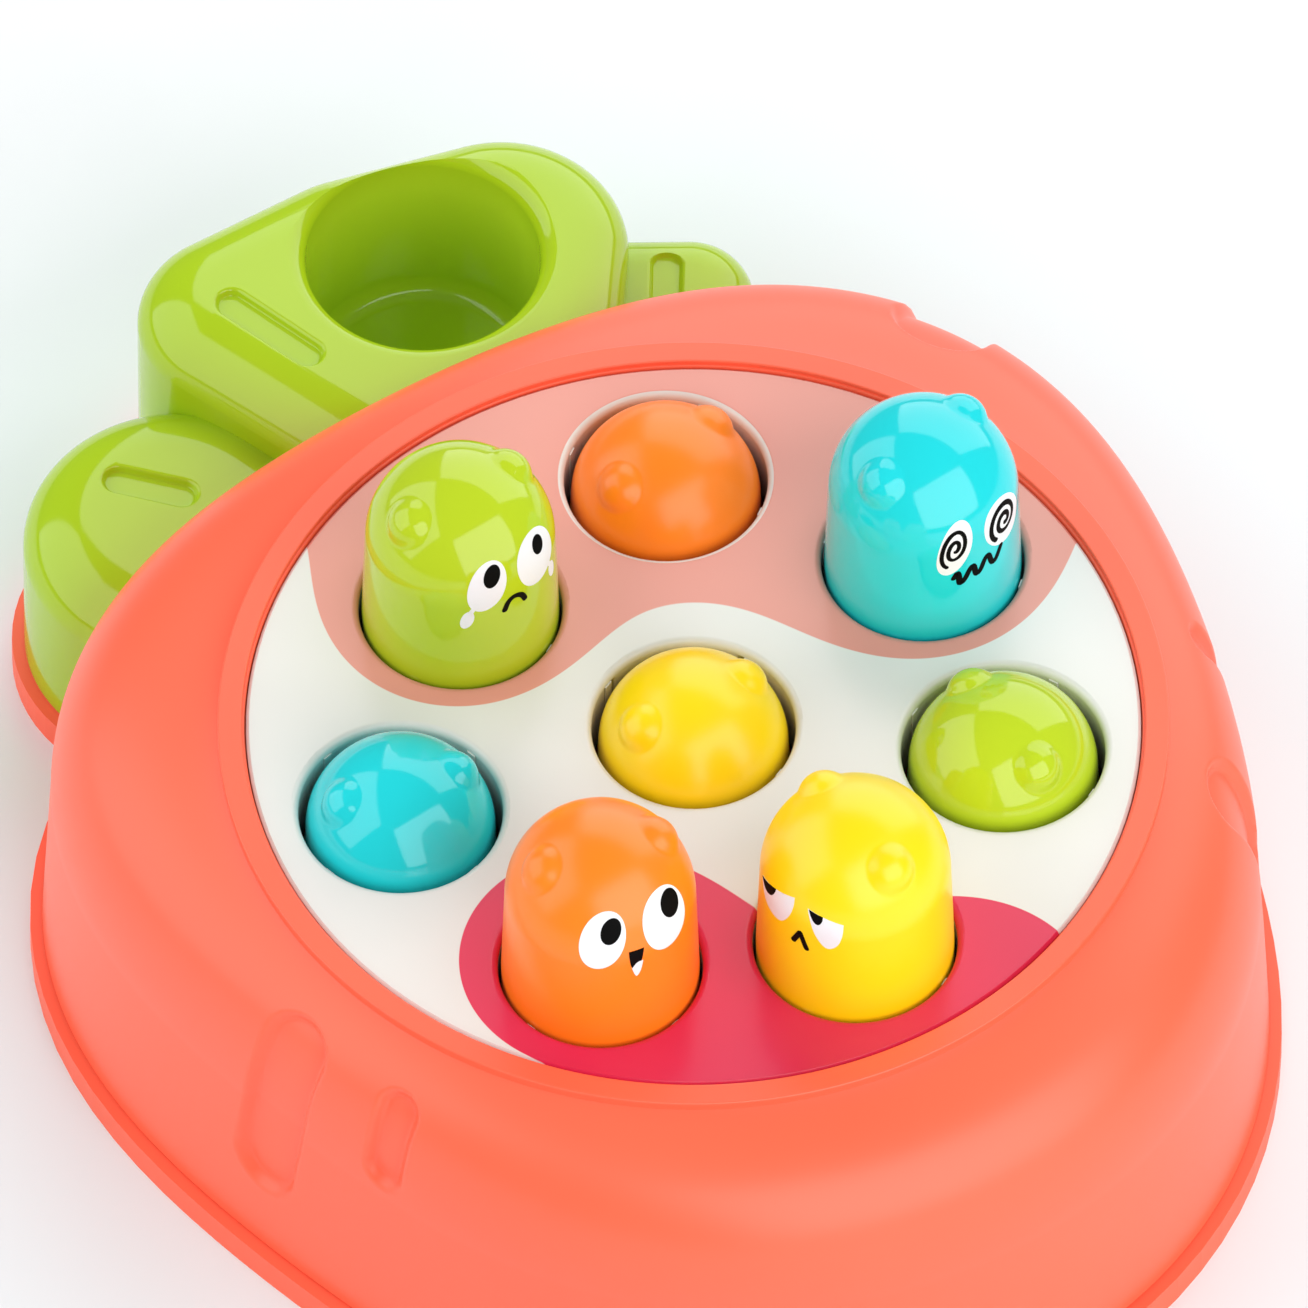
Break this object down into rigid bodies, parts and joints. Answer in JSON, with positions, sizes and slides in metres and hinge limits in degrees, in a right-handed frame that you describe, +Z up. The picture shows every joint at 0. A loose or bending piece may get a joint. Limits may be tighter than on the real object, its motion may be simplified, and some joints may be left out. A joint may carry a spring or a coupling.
{
  "type": "whack-a-mole toy",
  "caption": "Toddler's pounding toy: moles pop up through a round panel in a soft plant-shaped body, joined in pairs by see-saws, with a leaf crown and cup.",
  "frame": {"origin": "on the resting face, under the middle mole", "axes": "+Z up, +Y towards the leaves, -Y towards the front"},
  "size_m": [0.2396, 0.3005, 0.1238],
  "materials": {
    "coral_body": "satin moulded plastic",
    "white_panel": "glossy moulded plastic with a printed face",
    "leaf_green": "glossy moulded plastic",
    "mole_green": "glossy moulded plastic",
    "mole_cyan": "glossy moulded plastic",
    "mole_orange": "satin moulded plastic",
    "mole_yellow": "satin moulded plastic",
    "inner_white": "plain moulded plastic",
    "steel": "plated"
  },
  "bodies": {
    "body": {"base_tray": "coral_body", "top_shell": "coral_body", "play_panel": "white_panel", "leaf_crown": "leaf_green", "case_screws": "steel", "leaf_screws": "steel", "rocker_axles": "steel"},
    "mole_front": {"cap_front": "mole_yellow", "stem_front": "inner_white", "screw_front": "steel"},
    "mole_right_front": {"cap_right_front": "mole_green", "stem_right_front": "inner_white", "screw_right_front": "steel"},
    "mole_right": {"cap_right": "mole_cyan", "stem_right": "inner_white", "screw_right": "steel"},
    "mole_back_right": {"cap_back_right": "mole_orange", "stem_back_right": "inner_white", "screw_back_right": "steel"},
    "mole_back_left": {"cap_back_left": "mole_green", "stem_back_left": "inner_white", "screw_back_left": "steel"},
    "mole_left": {"cap_left": "mole_cyan", "stem_left": "inner_white", "screw_left": "steel"},
    "mole_left_front": {"cap_left_front": "mole_orange", "stem_left_front": "inner_white", "screw_left_front": "steel"},
    "mole_centre": {"cap_centre": "mole_yellow", "stem_centre": "inner_white", "screw_centre": "steel"},
    "seesaw_front": {"rocker_front": "inner_white"},
    "seesaw_right": {"rocker_right": "inner_white"},
    "seesaw_back": {"rocker_back": "inner_white"},
    "seesaw_left": {"rocker_left": "inner_white"}
  },
  "joints": [
    {"name": "press_front", "type": "slide", "parent": "body", "child": "mole_front", "axis": [0, 0, 1], "range_m": [-0.029, 0]},
    {"name": "press_centre", "type": "slide", "parent": "body", "child": "mole_centre", "axis": [0, 0, 1], "range_m": [0, 0.029]},
    {"name": "tilt_front", "type": "hinge", "parent": "body", "child": "seesaw_front", "pos_m": [0, -0.0307, 0.0292], "axis": [1, 0, 0], "range_deg": [0, 53.16]},
    {"name": "press_right", "type": "slide", "parent": "body", "child": "mole_right", "axis": [0, 0, 1], "range_m": [-0.029, 0]},
    {"name": "press_right_front", "type": "slide", "parent": "body", "child": "mole_right_front", "axis": [0, 0, 1], "range_m": [0, 0.029]},
    {"name": "tilt_right", "type": "hinge", "parent": "body", "child": "seesaw_right", "pos_m": [0.05477, -0.01239, 0.0292], "axis": [-0.9753, 0.2207, 0], "range_deg": [0, 65.13]},
    {"name": "press_back_left", "type": "slide", "parent": "body", "child": "mole_back_left", "axis": [0, 0, 1], "range_m": [-0.029, 0]},
    {"name": "press_back_right", "type": "slide", "parent": "body", "child": "mole_back_right", "axis": [0, 0, 1], "range_m": [0, 0.029]},
    {"name": "tilt_back", "type": "hinge", "parent": "body", "child": "seesaw_back", "pos_m": [0.00143, 0.05211, 0.0292], "axis": [0.1176, -0.9931, 0], "range_deg": [0, 62.89]},
    {"name": "press_left_front", "type": "slide", "parent": "body", "child": "mole_left_front", "axis": [0, 0, 1], "range_m": [-0.029, 0]},
    {"name": "press_left", "type": "slide", "parent": "body", "child": "mole_left", "axis": [0, 0, 1], "range_m": [0, 0.029]},
    {"name": "tilt_left", "type": "hinge", "parent": "body", "child": "seesaw_left", "pos_m": [-0.05311, -0.01418, 0.0292], "axis": [0.9662, 0.258, 0], "range_deg": [0, 59.4]}
  ],
  "couplings": [
    {"joint": "press_centre", "follows": "press_front", "ratio": -1},
    {"joint": "tilt_front", "follows": "press_front", "rad_per_m": -31.987},
    {"joint": "press_right_front", "follows": "press_right", "ratio": -1},
    {"joint": "tilt_right", "follows": "press_right", "rad_per_m": -39.189},
    {"joint": "press_back_right", "follows": "press_back_left", "ratio": -1},
    {"joint": "tilt_back", "follows": "press_back_left", "rad_per_m": -37.841},
    {"joint": "press_left", "follows": "press_left_front", "ratio": -1},
    {"joint": "tilt_left", "follows": "press_left_front", "rad_per_m": -35.743}
  ]
}
